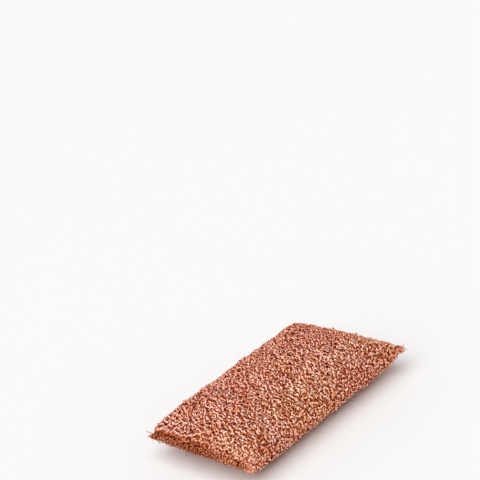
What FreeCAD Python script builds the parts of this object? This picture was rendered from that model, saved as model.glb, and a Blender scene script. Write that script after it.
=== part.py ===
import FreeCAD
import Part
import Sketcher

import math
import os

# A knitted pot scrubber: a foam core inside a tube of looped metallic tape. The tube is folded flat at both
# short ends, and each end is closed by an overedge seam of two threads. Lengths are in millimetres. The
# origin is at the centre of the flat seat underneath, X runs from one sewn end to the other, Y from fold to
# fold, and Z is up.

SIZES = (
    ("sleeve_length", 141.0, "hem edge to hem edge"),
    ("sleeve_width", 93.0, "fold to fold at the middle"),
    ("sleeve_height", 28.0, "seat to crown"),
    ("seat_cut", 0.5, "depth of the flat seat in the lower crown"),
    ("crown_rise", 2.0, "rise of the crown above the folds at the middle"),
    ("end_fullness", 6.5, "power of the curve from the crown to a hem: more is blunter"),
    ("cloth", 1.8, "thickness of the knitted wall with its loops"),
    ("hem_depth", 3.2, "width of the flat hem beyond the pillow"),
    ("hem_half", 1.2, "half the thickness of a hem, one layer of the tube"),
    ("hem_spread", 1.0, "how far a hem stands out past each fold"),
    ("slit_half", 0.2, "half the gap between the two layers of a hem"),
    ("core_gap", 0.4, "clearance round the foam core"),
    ("thread_width", 0.5, "thickness of the sewing thread"),
    ("thread_gap", 0.15, "clearance between a thread and what it lies on"),
    ("stitch_pitch", 3.8, "distance between needle holes"),
    ("stitch_inset", 2.0, "needle line from the hem's edge"),
    ("tail_length", 3.0, "loose thread past the hem at one corner"),
)

# Where the cross-sections stand on the curve from the middle (0) to the foot of a hem (90), in degrees.
CURVE_ANGLES = (2, 8, 20, 40, 58, 72, 82)
HEM_ANGLE = 90
CORE_ANGLES = CURVE_ANGLES[:-1]

HALF_HEIGHT = "((sizes.sleeve_height + sizes.seat_cut) / 2)"
HEM_LEVEL = "((sizes.sleeve_height - sizes.seat_cut) / 2)"
HALF_RUN = "(sizes.sleeve_length / 2 - sizes.hem_depth)"
CROWN_SHARE = f"(sizes.crown_rise / {HALF_HEIGHT})"
HEM_HALF_WIDTH = "(sizes.sleeve_width / 2 + sizes.hem_spread)"
NEEDLE_LINE = "(sizes.sleeve_length / 2 - sizes.stitch_inset)"
HOLE_RADIUS = "(sizes.thread_width / 2 + sizes.thread_gap)"

# The stitches on each side of the middle one: the outermost leg still lies on the flat of the hem.
SIDE_STITCHES = (
    f"floor(({HEM_HALF_WIDTH} - sizes.hem_half - sizes.thread_width) / sizes.stitch_pitch - 0.5)"
)

# The numbers that a sketch gives to an edge's points and to its own two axes.
START, END, CENTRE = range(1, 4)
H_AXIS, V_AXIS = range(-1, -3, -1)
SHAPE_TOLERANCE = 0.02
POINT_STEP = 0.4


class Skin:
    """One closed surface of the pillow, set in from the outside of the sleeve."""

    def __init__(self, inset, tip):
        self.run = f"({HALF_RUN} - {inset})"
        self.full = f"({HALF_HEIGHT} - {inset})"
        self.side = f"(sizes.sleeve_width / 2 - {inset})"
        self.tip = tip

    def along(self, side, angle):
        """X of the section at this angle, on the side -1 or +1."""
        return f"{side} * {self.run} * sin({angle})^(2 / sizes.end_fullness)"

    def half_height(self, angle):
        """Half the section's height: full at the middle, the hem's at its foot."""
        return f"({self.tip} + ({self.full} - {self.tip}) * cos({angle}))"

    def half_width(self, angle):
        """Half the section's width: the folds draw in between the hems."""
        return f"({self.side} + sizes.hem_spread * sin({angle})^(8 / sizes.end_fullness))"


OUTSIDE = Skin("0", "sizes.hem_half")
INSIDE = Skin("sizes.cloth", "sizes.slit_half")
FOAM = Skin("(sizes.cloth + sizes.core_gap)", "0")


def make_sheet(doc):
    """Puts the driving sizes into a sheet, one alias each."""
    sheet = doc.addObject("Spreadsheet::Sheet", "sizes")
    for row, (alias, value, note) in enumerate(SIZES, start=1):
        sheet.set(f"A{row}", note)
        sheet.set(f"B{row}", str(value))
        sheet.setAlias(f"B{row}", alias)
    doc.recompute()
    return sheet


def value_of(sheet, expression):
    """The number that an expression of the sizes comes to."""
    return float(sheet.evalExpression(expression))


def make_body(doc, label):
    body = doc.addObject("PartDesign::Body", label)
    body.Label = label
    return body


def origin_feature(body, role):
    return next(item for item in body.Origin.OriginFeatures if item.Role == role)


def make_sketch(body, name, plane):
    sketch = body.newObject("Sketcher::SketchObject", name)
    sketch.AttachmentSupport = [(origin_feature(body, plane), "")]
    sketch.MapMode = "FlatFace"
    return sketch


def bind(sketch, name, constraint, expression):
    """Adds a named dimension and ties it to an expression of the sizes."""
    index = sketch.addConstraint(constraint)
    sketch.renameConstraint(index, name)
    sketch.setExpression(f"Constraints.{name}", expression)


def arc(centre_x, centre_y, radius, start, end):
    circle = Part.Circle(FreeCAD.Vector(centre_x, centre_y, 0), FreeCAD.Vector(0, 0, 1), radius)
    return Part.ArcOfCircle(circle, start, end)


def join_ring(sketch):
    """Joins the six edges of a section: smooth at the crowns, meeting on the fold line at the sides."""
    for first, second in ((0, 1), (1, 2), (3, 4), (4, 5)):
        sketch.addConstraint(Sketcher.Constraint("Tangent", first, END, second, START))
    for first, second in ((2, 3), (5, 0)):
        sketch.addConstraint(Sketcher.Constraint("Coincident", first, END, second, START))
    for corner, point in ((0, CENTRE), (0, START), (2, CENTRE), (2, END), (3, CENTRE), (5, CENTRE)):
        sketch.addConstraint(Sketcher.Constraint("PointOnObject", corner, point, H_AXIS))


def place_section(sketch, along):
    sketch.setExpression("AttachmentOffset.Base.y", HEM_LEVEL)
    sketch.setExpression("AttachmentOffset.Base.z", along)


def crowned_section(body, sheet, name, skin, side, angle):
    """A cross-section with a crown above and below and a round fold at each side."""
    sketch = make_sketch(body, name, "YZ_Plane")
    place_section(sketch, skin.along(side, angle))
    high = skin.half_height(angle)
    wide = skin.half_width(angle)
    fold = f"({high} * (1 - {CROWN_SHARE}))"
    crown = f"((({wide} - {fold})^2 + {high}^2 - {fold}^2) / (2 * ({high} - {fold})))"
    drop = f"({crown} - {high})"

    half_width = value_of(sheet, wide)
    fold_radius = value_of(sheet, fold)
    crown_radius = value_of(sheet, crown)
    crown_drop = value_of(sheet, drop)
    reach = half_width - fold_radius
    lean = math.atan2(reach, crown_drop)
    up, left, down, around = math.pi / 2, math.pi, 3 * math.pi / 2, 2 * math.pi
    sketch.addGeometry([
        arc(reach, 0, fold_radius, 0, up - lean),
        arc(0, -crown_drop, crown_radius, up - lean, up + lean),
        arc(-reach, 0, fold_radius, up + lean, left),
        arc(-reach, 0, fold_radius, left, down - lean),
        arc(0, crown_drop, crown_radius, down - lean, down + lean),
        arc(reach, 0, fold_radius, down + lean, around),
    ])
    join_ring(sketch)
    sketch.addConstraint(Sketcher.Constraint("PointOnObject", 1, CENTRE, V_AXIS))
    sketch.addConstraint(Sketcher.Constraint("Horizontal", 1, START, 1, END))
    sketch.addConstraint(Sketcher.Constraint("Equal", 1, 4))
    sketch.addConstraint(Sketcher.Constraint("Symmetric", 1, CENTRE, 4, CENTRE, H_AXIS, START))
    bind(sketch, "crown_radius", Sketcher.Constraint("Radius", 1, crown_radius), crown)
    bind(sketch, "crown_drop", Sketcher.Constraint("DistanceY", 1, CENTRE, H_AXIS, START, crown_drop), drop)
    bind(sketch, "half_width", Sketcher.Constraint("DistanceX", H_AXIS, START, 0, START, half_width), wide)
    return sketch


def flat_section(body, sheet, name, skin, along):
    """A flat cross-section with round ends, as thick as the skin is at a hem."""
    sketch = make_sketch(body, name, "YZ_Plane")
    place_section(sketch, along)
    wide = skin.half_width(HEM_ANGLE)
    half_width = value_of(sheet, wide)
    half_height = value_of(sheet, skin.tip)
    reach = half_width - half_height
    up, left, down, around = math.pi / 2, math.pi, 3 * math.pi / 2, 2 * math.pi
    right_top = FreeCAD.Vector(reach, half_height, 0)
    left_top = FreeCAD.Vector(-reach, half_height, 0)
    left_low = FreeCAD.Vector(-reach, -half_height, 0)
    right_low = FreeCAD.Vector(reach, -half_height, 0)
    sketch.addGeometry([
        arc(reach, 0, half_height, 0, up),
        Part.LineSegment(right_top, left_top),
        arc(-reach, 0, half_height, up, left),
        arc(-reach, 0, half_height, left, down),
        Part.LineSegment(left_low, right_low),
        arc(reach, 0, half_height, down, around),
    ])
    join_ring(sketch)
    sketch.addConstraint(Sketcher.Constraint("Symmetric", 1, START, 1, END, V_AXIS))
    sketch.addConstraint(Sketcher.Constraint("Horizontal", 4))
    sketch.addConstraint(Sketcher.Constraint("Equal", 0, 5))
    rise = Sketcher.Constraint("DistanceY", H_AXIS, START, 1, START, half_height)
    reach_out = Sketcher.Constraint("DistanceX", H_AXIS, START, 0, START, half_width)
    bind(sketch, "half_height", rise, skin.tip)
    bind(sketch, "half_width", reach_out, wide)
    return sketch


def curve_sections(body, sheet, name, skin, angles):
    """The crowned sections from one end to the other."""
    stations = [(-1, angle) for angle in reversed(angles)]
    stations += [(1, 0)]
    stations += [(1, angle) for angle in angles]
    return [
        crowned_section(body, sheet, f"{name}_{number}", skin, side, angle)
        for number, (side, angle) in enumerate(stations, start=1)
    ]


def loft(body, kind, name, sections):
    feature = body.newObject(kind, name)
    feature.Profile = sections[0]
    feature.Sections = sections[1:]
    return feature


def closed_skin(body, sheet, name, skin):
    """The sections of a skin that comes down to a flat end at each hem."""
    first = flat_section(body, sheet, f"{name}_left_end", skin, skin.along(-1, HEM_ANGLE))
    middle = curve_sections(body, sheet, name, skin, CURVE_ANGLES)
    last = flat_section(body, sheet, f"{name}_right_end", skin, skin.along(1, HEM_ANGLE))
    return [first] + middle + [last]


def must_shrink(doc, body, before, what):
    """Recomputes after a cut and makes sure that it took something away."""
    doc.recompute()
    after = body.Shape.Volume
    if after >= before:
        raise RuntimeError(f"{what} cut nothing")
    return after


def make_sleeve(doc, sheet):
    """The knitted tube: a pillow with a hollow, a flat hem at each end, needle holes and a flat seat."""
    body = make_body(doc, "knit_sleeve")
    outer = closed_skin(body, sheet, "outside", OUTSIDE)
    loft(body, "PartDesign::AdditiveLoft", "pillow", outer)
    for name, foot, turned in (("left_hem", outer[0], True), ("right_hem", outer[-1], False)):
        hem = body.newObject("PartDesign::Pad", name)
        hem.Profile = foot
        hem.Reversed = turned
        hem.setExpression("Length", "sizes.hem_depth")
    doc.recompute()
    volume = body.Shape.Volume

    inner = closed_skin(body, sheet, "inside", INSIDE)
    loft(body, "PartDesign::SubtractiveLoft", "hollow", inner)
    volume = must_shrink(doc, body, volume, "the hollow")

    for name, mouth, turned in (("left_mouth", inner[0], False), ("right_mouth", inner[-1], True)):
        slit = body.newObject("PartDesign::Pocket", name)
        slit.Profile = mouth
        slit.Type = "ThroughAll"
        slit.Reversed = turned
        volume = must_shrink(doc, body, volume, name)

    floor = make_sketch(body, "seat_outline", "XY_Plane")
    half_length = value_of(sheet, "sizes.sleeve_length / 2")
    half_width = value_of(sheet, HEM_HALF_WIDTH)
    corners = [
        FreeCAD.Vector(-half_length, -half_width, 0),
        FreeCAD.Vector(half_length, -half_width, 0),
        FreeCAD.Vector(half_length, half_width, 0),
        FreeCAD.Vector(-half_length, half_width, 0),
    ]
    floor.addGeometry([Part.LineSegment(corners[i], corners[(i + 1) % 4]) for i in range(4)])
    for edge in range(4):
        floor.addConstraint(Sketcher.Constraint("Coincident", edge, END, (edge + 1) % 4, START))
    for edge, direction in enumerate(("Horizontal", "Vertical", "Horizontal", "Vertical")):
        floor.addConstraint(Sketcher.Constraint(direction, edge))
    floor.addConstraint(Sketcher.Constraint("Symmetric", 0, START, 2, START, H_AXIS, START))
    long_side = Sketcher.Constraint("DistanceX", 0, START, 0, END, 2 * half_length)
    short_side = Sketcher.Constraint("DistanceY", 1, START, 1, END, 2 * half_width)
    bind(floor, "length", long_side, "sizes.sleeve_length")
    bind(floor, "width", short_side, f"2 * {HEM_HALF_WIDTH}")
    seat = body.newObject("PartDesign::Pocket", "seat")
    seat.Profile = floor
    seat.Type = "ThroughAll"
    volume = must_shrink(doc, body, volume, "the seat")

    first_holes = make_sketch(body, "first_needle_holes", "XY_Plane")
    needle_line = value_of(sheet, NEEDLE_LINE)
    radius = value_of(sheet, HOLE_RADIUS)
    first_row = f"({SIDE_STITCHES} * sizes.stitch_pitch)"
    start = value_of(sheet, first_row)
    for number, side in enumerate((-1, 1)):
        centre = FreeCAD.Vector(side * needle_line, -start, 0)
        first_holes.addGeometry(Part.Circle(centre, FreeCAD.Vector(0, 0, 1), radius))
        across = (number, CENTRE, H_AXIS, START) if side < 0 else (H_AXIS, START, number, CENTRE)
        name = "left" if side < 0 else "right"
        bind(first_holes, f"{name}_line", Sketcher.Constraint("DistanceX", *across, needle_line), NEEDLE_LINE)
        down = Sketcher.Constraint("DistanceY", number, CENTRE, H_AXIS, START, start)
        bind(first_holes, f"{name}_start", down, first_row)
        bind(first_holes, f"{name}_radius", Sketcher.Constraint("Radius", number, radius), HOLE_RADIUS)
    holes = body.newObject("PartDesign::Pocket", "needle_holes")
    holes.Profile = first_holes
    holes.Type = "ThroughAll"
    holes.Reversed = True
    volume = must_shrink(doc, body, volume, "the first needle holes")

    row = body.newObject("PartDesign::LinearPattern", "needle_hole_rows")
    row.Originals = [holes]
    row.Direction = (origin_feature(body, "Y_Axis"), [""])
    row.Mode = "Extent"
    row.setExpression("Length", f"2 * {first_row}")
    row.setExpression("Occurrences", f"2 * {SIDE_STITCHES} + 1")
    body.Tip = row
    must_shrink(doc, body, volume, "the rows of needle holes")
    return body


def make_core(doc, sheet):
    """The foam block, pressed to the inside of the sleeve and blunt at both ends."""
    body = make_body(doc, "foam_core")
    loft(body, "PartDesign::AdditiveLoft", "block", curve_sections(body, sheet, "foam", FOAM, CORE_ANGLES))
    doc.recompute()
    return body


def square_path(corners, bend):
    """A wire along square corners, each rounded by a quarter turn.

    Args:
        corners: the route's corner points, with a square turn at each inner one.
        bend: radius of the quarter turns.
    """
    edges = []
    here = corners[0]
    for point, after in zip(corners[1:-1], corners[2:]):
        way_in = (point - here).normalize()
        way_out = (after - point).normalize()
        enter = point - way_in * bend
        leave = point + way_out * bend
        centre = enter + way_out * bend
        halfway = centre + (way_in - way_out) * (bend / math.sqrt(2))
        edges.append(Part.LineSegment(here, enter).toShape())
        edges.append(Part.Arc(enter, halfway, leave).toShape())
        here = leave
    edges.append(Part.LineSegment(here, corners[-1]).toShape())
    return Part.Wire(edges)


def thread_tube(path, width, label):
    """One unbroken tube along a path, with its volume checked."""
    first = path.Edges[0]
    start = first.valueAt(first.FirstParameter)
    section = Part.Wire(Part.makeCircle(width / 2, start, first.tangentAt(first.FirstParameter)))
    sweep = Part.BRepOffsetAPI.MakePipeShell(path)
    sweep.add(section)
    sweep.build()
    sweep.makeSolid()
    tube = sweep.shape()
    expected = math.pi * width ** 2 / 4 * path.Length
    if abs(tube.Volume - expected) > SHAPE_TOLERANCE * expected:
        raise RuntimeError(f"{label} has a volume of {tube.Volume:.3f}, not {expected:.3f}")
    return tube


def self_gap(path, width):
    """The least gap between stretches of a tube that are more than three widths apart along it."""
    points = path.discretize(Number=int(path.Length / POINT_STEP))
    skip = int(3 * width / POINT_STEP) + 1
    least = min(
        (point - other).Length
        for place, point in enumerate(points)
        for other in points[place + skip:]
    )
    return least - width


def make_thread(doc, label, path, width, turned):
    """A thread of one seam, turned half round for the seam at the other end."""
    thread = doc.addObject("Part::Feature", label)
    thread.Label = label
    thread.Shape = thread_tube(path, width, label)
    half_turn = FreeCAD.Rotation(FreeCAD.Vector(0, 0, 1), 180 if turned else 0)
    thread.Placement = FreeCAD.Placement(FreeCAD.Vector(0, 0, 0), half_turn)
    return thread


def seam_paths(sheet):
    """The routes of the needle thread and the looper thread at the left hem.

    The needle thread goes down and up through the holes, with a dash on top and one below in turn. The looper
    thread wraps the hem's edge between the holes, and its bights go round the needle thread where it passes
    through the cloth, above and below in turn.
    """
    width = value_of(sheet, "sizes.thread_width")
    gap = value_of(sheet, "sizes.thread_gap")
    pitch = value_of(sheet, "sizes.stitch_pitch")
    level = value_of(sheet, HEM_LEVEL)
    hem_half = value_of(sheet, "sizes.hem_half")
    edge = -value_of(sheet, "sizes.sleeve_length / 2")
    needle_x = -value_of(sheet, NEEDLE_LINE)
    tail_y = value_of(sheet, f"{HEM_HALF_WIDTH} + sizes.tail_length")
    side = int(value_of(sheet, SIDE_STITCHES))
    bend = gap + width / 2
    holes = [number * pitch for number in range(side, -side - 1, -1)]

    dash = hem_half + 2 * gap + 1.5 * width
    needle = [FreeCAD.Vector(needle_x, tail_y, level + dash)]
    up = 1
    for hole in holes:
        needle.append(FreeCAD.Vector(needle_x, hole, level + up * dash))
        up = -up
        needle.append(FreeCAD.Vector(needle_x, hole, level + up * dash))
    needle.append(FreeCAD.Vector(needle_x, holes[-1] - pitch / 2, level + up * dash))

    lie = hem_half + gap + width / 2
    outer_x = edge - gap - width / 2
    inner_x = needle_x + gap + width
    tail_x = (edge + needle_x) / 2
    up = 1
    looper = [
        FreeCAD.Vector(tail_x, tail_y, level + lie),
        FreeCAD.Vector(tail_x, holes[0] + pitch / 2, level + lie),
    ]
    for hole in holes:
        before, after = hole + pitch / 2, hole - pitch / 2
        looper.append(FreeCAD.Vector(inner_x, before, level + up * lie))
        looper.append(FreeCAD.Vector(inner_x, after, level + up * lie))
        if hole != holes[-1]:
            looper.append(FreeCAD.Vector(outer_x, after, level + up * lie))
            up = -up
            looper.append(FreeCAD.Vector(outer_x, after, level + up * lie))
    looper.append(FreeCAD.Vector(tail_x, holes[-1] - pitch / 2, level + up * lie))
    return square_path(needle, bend), square_path(looper, bend), width


def make_threads(doc, sheet):
    needle, looper, width = seam_paths(sheet)
    for name, path in (("needle thread", needle), ("looper thread", looper)):
        print(f"{name}: {path.Length:.1f} mm long, least gap to itself {self_gap(path, width):.2f} mm")
    return [
        make_thread(doc, "left_needle_thread", needle, width, False),
        make_thread(doc, "left_looper_thread", looper, width, False),
        make_thread(doc, "right_needle_thread", needle, width, True),
        make_thread(doc, "right_looper_thread", looper, width, True),
    ]


def check(doc, pieces):
    """Stops before anything is written if an object failed or a shape isn't one good solid."""
    for item in doc.Objects:
        if "Invalid" in item.State or "Error" in item.State:
            raise RuntimeError(f"{item.Name} failed: {item.State}")
    for piece in pieces:
        shape = piece.Shape
        if shape.isNull() or not shape.isValid() or len(shape.Solids) != 1:
            raise RuntimeError(f"{piece.Label} isn't one valid solid")


def main():
    doc = FreeCAD.newDocument("pot_scrubber")
    sheet = make_sheet(doc)
    pieces = [make_sleeve(doc, sheet), make_core(doc, sheet)]
    pieces += make_threads(doc, sheet)
    doc.recompute()
    check(doc, pieces)
    os.makedirs("parts", exist_ok=True)
    for piece in pieces:
        piece.Shape.exportStep(f"parts/{piece.Label}.step")
        box = piece.Shape.BoundBox
        print(f"{piece.Label}: {box.XLength:.1f} x {box.YLength:.1f} x {box.ZLength:.1f} mm,"
              f" {piece.Shape.Volume / 1000:.2f} cm3")


main()
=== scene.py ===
"""Knitted pot scrubber: a looped metallic sleeve over a foam block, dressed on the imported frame."""

import logging
import math
from dataclasses import dataclass, field
from enum import Enum
import bpy
import numpy as np
from mathutils import Matrix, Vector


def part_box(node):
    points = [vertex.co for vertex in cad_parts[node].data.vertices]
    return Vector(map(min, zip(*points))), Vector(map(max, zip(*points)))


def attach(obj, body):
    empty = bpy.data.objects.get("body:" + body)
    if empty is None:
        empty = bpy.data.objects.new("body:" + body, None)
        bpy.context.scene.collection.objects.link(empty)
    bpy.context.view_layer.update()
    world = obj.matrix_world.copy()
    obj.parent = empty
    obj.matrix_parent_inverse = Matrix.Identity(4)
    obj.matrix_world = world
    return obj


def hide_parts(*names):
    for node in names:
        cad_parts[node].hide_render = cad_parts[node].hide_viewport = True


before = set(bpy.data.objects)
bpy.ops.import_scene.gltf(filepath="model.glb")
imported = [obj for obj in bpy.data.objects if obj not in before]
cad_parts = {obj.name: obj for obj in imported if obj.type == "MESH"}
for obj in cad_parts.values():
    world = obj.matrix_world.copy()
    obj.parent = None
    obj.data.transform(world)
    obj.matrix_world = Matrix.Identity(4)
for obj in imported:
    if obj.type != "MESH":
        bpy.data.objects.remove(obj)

LOG = logging.getLogger("pot_scrubber")
MM = 0.001
BODY = "root"
START_OBJECTS = ("Cube", "Light", "Camera")
TONE = "tone"
AMBER = "amber"
Array = np.ndarray
Piece = bpy.types.Object
Material = bpy.types.Material
Socket = bpy.types.NodeSocket

# Corners of a strand's flat section, in halves of its width and of its thickness.
SECTION = np.array([[1.0, 0.0], [0.5, 1.0], [-0.5, 1.0], [-1.0, 0.0], [-0.5, -1.0], [0.5, -1.0]])

# A ply of thread: points round it, distance from the thread's line in radii, a direction that no run takes.
PLY_SIDES = 7
PLY_LAY = 0.9
PLY_SLANT = np.array([0.42, 0.31, 0.85])


class Slot(Enum):
    """The record's material slots."""

    KNIT = "metallic_knit"
    FOAM = "foam"
    THREAD = "sewing_thread"


class Zone(Enum):
    """The areas of the sleeve that carry pile pieces of their own."""

    UPPER_LEFT = "upper_left"
    UPPER_RIGHT = "upper_right"
    LOWER_LEFT = "lower_left"
    LOWER_RIGHT = "lower_right"
    NEAR_FOLD = "near_fold"
    FAR_FOLD = "far_fold"
    LEFT_HEM = "left_hem"
    RIGHT_HEM = "right_hem"


def smooth_step(low: float, high: float, value: Array) -> Array:
    """Rise from 0 where a value is low to 1 where it is high, along 3t^2 - 2t^3."""
    share = np.clip((value - low) / (high - low), 0.0, 1.0)
    return share * share * (3.0 - 2.0 * share)


def unit(vectors: Array) -> Array:
    """Scale vectors on the last axis to length one."""
    return vectors / np.maximum(np.linalg.norm(vectors, axis=-1, keepdims=True), 1e-12)


def dot(first: Array, second: Array) -> Array:
    """Scalar product on the last axis, which is kept with length one."""
    return np.sum(first * second, axis=-1, keepdims=True)


def add_piece(name: str, points: Array, faces: list, smooth: bool = True) -> Piece:
    """Make a mesh object at the origin from points and faces.

    Args:
        name: Name of the piece.
        points: Vertex places in metres, any shape that ends in 3.
        faces: Vertex numbers of each face.
        smooth: Whether faces are shaded smooth.

    Returns:
        The new object, linked to the scene.
    """
    mesh = bpy.data.meshes.new(name)
    mesh.from_pydata(points.reshape(-1, 3).tolist(), [], faces)
    mesh.polygons.foreach_set("use_smooth", np.full(len(mesh.polygons), smooth))
    mesh.update()
    piece = bpy.data.objects.new(name, mesh)
    bpy.context.scene.collection.objects.link(piece)
    return piece


def settle(piece: Piece, material: Material) -> None:
    """Give a finished piece its material and the body it rides on.

    Args:
        piece: The finished piece.
        material: Finish of the piece.
    """
    piece.data.materials.clear()
    piece.data.materials.append(material)
    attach(piece, BODY)
    LOG.info("built %s: %d faces", piece.name, len(piece.data.polygons))


class Shader:
    """A material's node tree, with short calls that add nodes and join them."""

    def __init__(self, name: str) -> None:
        """Start a material that holds a Principled shader.

        Args:
            name: Name of the material.
        """
        self.material = bpy.data.materials.new(name)
        self.material.use_nodes = True
        self.tree = self.material.node_tree
        self.surface = self.tree.nodes["Principled BSDF"]

    def set(self, **values: object) -> None:
        """Set constant values on the shader's own sockets, with _ for a space in a name."""
        for name, value in values.items():
            self.surface.inputs[name.replace("_", " ")].default_value = value

    def add(self, kind: str, **values: object) -> bpy.types.Node:
        """Add a node and set its input values.

        Args:
            kind: Blender's type name of the node.
            values: Input values, with _ for a space in a name.

        Returns:
            The new node.
        """
        node = self.tree.nodes.new(kind)
        for name, value in values.items():
            node.inputs[name.replace("_", " ")].default_value = value
        return node

    def join(self, source: Socket, target: Socket) -> None:
        """Link an output socket to an input socket."""
        self.tree.links.new(source, target)

    def feed(self, name: str, source: Socket) -> None:
        """Link an output socket to one of the surface's own inputs."""
        self.join(source, self.surface.inputs[name])

    def texture(self, kind: str, output: str, **values: object) -> Socket:
        """Read a texture on Object coordinates, which are in metres on a piece at the origin.

        Args:
            kind: Blender's type name of the texture node.
            output: Name of the output to read.
            values: Input values, with _ for a space in a name.

        Returns:
            The output socket.
        """
        node = self.add(kind, **values)
        self.join(self.add("ShaderNodeTexCoord").outputs["Object"], node.inputs["Vector"])
        return node.outputs[output]

    def attribute(self, name: str) -> Socket:
        """Value of one of the mesh's own attributes.

        Args:
            name: Name of the attribute.

        Returns:
            The value's socket.
        """
        node = self.add("ShaderNodeAttribute")
        node.attribute_name = name
        return node.outputs["Fac"]

    def ramp(self, source: Socket, stops: tuple) -> Socket:
        """Turn a value into a colour.

        Args:
            source: Value from 0 to 1.
            stops: Pairs of a place and a linear colour.

        Returns:
            The colour socket.
        """
        node = self.add("ShaderNodeValToRGB")
        bar = node.color_ramp.elements
        while len(bar) < len(stops):
            bar.new(0.5)
        for element, (where, colour) in zip(bar, stops):
            element.position = where
            element.color = (*colour, 1.0)
        self.join(source, node.inputs["Fac"])
        return node.outputs["Color"]

    def spread(self, source: Socket, low: float, high: float) -> Socket:
        """Map a value from 0..1 to low..high.

        Args:
            source: Value from 0 to 1.
            low: Result at 0.
            high: Result at 1.

        Returns:
            The mapped value's socket.
        """
        node = self.add("ShaderNodeMapRange", To_Min=low, To_Max=high)
        self.join(source, node.inputs["Value"])
        return node.outputs["Result"]

    def noise(self, scale: float) -> Socket:
        """Noise value from 0 to 1, at a scale in cycles per metre."""
        return self.texture("ShaderNodeTexNoise", "Fac", Scale=scale, Detail=2.0)

    def bump(self, height: Socket, depth: float, strength: float) -> None:
        """Tilt the shading as if a height value raised the surface.

        Args:
            height: Height value from 0 to 1.
            depth: Distance that a height of 1 stands for, in metres.
            strength: Share of the effect, from 0 to 1.
        """
        node = self.add("ShaderNodeBump", Strength=strength, Distance=depth)
        self.join(height, node.inputs["Height"])
        self.feed("Normal", node.outputs["Normal"])


@dataclass(frozen=True)
class TapeFinish:
    """Narrow metallised film: rose copper that turns to amber in places, each loop with a tone of its own.
    Part of the amber is painted warm reflected light, and the darkest tones carry painted shade.
    """

    name: str = "metallised_tape"
    rose: tuple = (
        # The darkest stops are reached mostly where tones are scaled down as painted shade: in the crease,
        # the underpile and the hems.
        (0.0, (0.15, 0.032, 0.014)),
        (0.10, (0.45, 0.095, 0.036)),
        (0.20, (0.60, 0.150, 0.064)),
        (0.40, (0.84, 0.305, 0.175)),
        (0.65, (0.95, 0.445, 0.310)),
        (0.85, (0.98, 0.540, 0.430)),
        (1.0, (1.0, 0.650, 0.555)),
    )
    amber: tuple = (
        (0.0, (0.15, 0.034, 0.012)),
        (0.10, (0.45, 0.100, 0.028)),
        (0.20, (0.60, 0.155, 0.048)),
        (0.40, (0.86, 0.325, 0.115)),
        (0.65, (0.95, 0.455, 0.200)),
        (0.85, (0.98, 0.545, 0.300)),
        (1.0, (1.0, 0.64, 0.415)),
    )
    rim: tuple = (0.80, 0.34, 0.21, 1.0)
    roughness: tuple = (0.22, 0.36)
    grain: float = 900.0

    def material(self) -> Material:
        """Metal whose colour follows two attributes and whose gloss varies along the tape.

        Returns:
            The material.
        """
        shader = Shader(self.name)
        shader.set(Metallic=1.0, Specular_Tint=self.rim)
        tone = shader.attribute(TONE)
        blend = shader.add("ShaderNodeMixRGB")
        shader.join(shader.attribute(AMBER), blend.inputs["Fac"])
        shader.join(shader.ramp(tone, self.rose), blend.inputs["Color1"])
        shader.join(shader.ramp(tone, self.amber), blend.inputs["Color2"])
        shader.feed("Base Color", blend.outputs["Color"])
        shader.feed("Roughness", shader.spread(shader.noise(self.grain), *self.roughness))
        return shader.material


@dataclass(frozen=True)
class CellFinish:
    """A surface of small cells, whose colour and height change from a cell's middle to its edge. The ramp's
    darker end is painted shade: between the ground's stitches and in the foam's pores.
    """

    name: str
    stops: tuple
    roughness: float
    cell: float
    depth: float
    relief: float
    metallic: float = 0.0
    rim: tuple = (1.0, 1.0, 1.0, 1.0)

    def material(self) -> Material:
        """Cells that are coloured by a ramp, which paints shade into them, and raised by a bump.

        Returns:
            The material.
        """
        shader = Shader(self.name)
        shader.set(Metallic=self.metallic, Roughness=self.roughness, Specular_Tint=self.rim)
        cells = shader.texture("ShaderNodeTexVoronoi", "Distance", Scale=self.cell)
        shader.feed("Base Color", shader.ramp(cells, self.stops))
        shader.bump(cells, self.depth, self.relief)
        return shader.material


# The cloth under the pile: the same tape in small stitches, painted darker than the pile as the shade under
# the loops, with painted shade between the stitches.
GROUND_WITH_PAINTED_SHADE = CellFinish(
    name="knitted_ground",
    stops=((0.0, (0.58, 0.145, 0.045)), (0.5, (0.44, 0.090, 0.028)), (1.0, (0.26, 0.045, 0.014))),
    roughness=0.5,
    cell=620.0,
    depth=0.5 * MM,
    relief=0.8,
    metallic=1.0,
    rim=(0.55, 0.20, 0.10, 1.0),
)
# Open-cell foam in pale amber, with painted shade in the pores between the pale walls.
FOAM_FINISH = CellFinish(
    name="open_cell_foam",
    stops=((0.0, (0.52, 0.33, 0.11)), (0.45, (0.76, 0.56, 0.25)), (1.0, (0.86, 0.68, 0.36))),
    roughness=0.9,
    cell=900.0,
    depth=0.4 * MM,
    relief=0.9,
)


@dataclass(frozen=True)
class ThreadFinish:
    """Spun polyester thread in copper brown, laid in two plies."""

    name: str = "spun_thread"
    stops: tuple = (
        (0.0, (0.26, 0.085, 0.045)),
        (0.5, (0.46, 0.19, 0.11)),
        (1.0, (0.66, 0.34, 0.23)),
    )
    roughness: float = 0.62
    sheen: tuple = (0.12, 0.4)
    ply: float = 900.0
    unevenness: float = 1.2
    fibre: float = 2600.0
    depth: float = 0.12 * MM
    relief: float = 0.7

    def material(self) -> Material:
        """Soft thread with slanted bands for the plies and a fibrous tone.

        Returns:
            The material.
        """
        shader = Shader(self.name)
        sheen, sheen_roughness = self.sheen
        shader.set(Roughness=self.roughness, Sheen_Weight=sheen, Sheen_Roughness=sheen_roughness)
        values = {"Scale": self.ply, "Distortion": self.unevenness, "Detail": 1.0}
        bands = shader.texture("ShaderNodeTexWave", "Fac", **values)
        bands.node.bands_direction = "DIAGONAL"
        shader.feed("Base Color", shader.ramp(shader.noise(self.fibre), self.stops))
        shader.bump(bands, self.depth, self.relief)
        return shader.material


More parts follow.
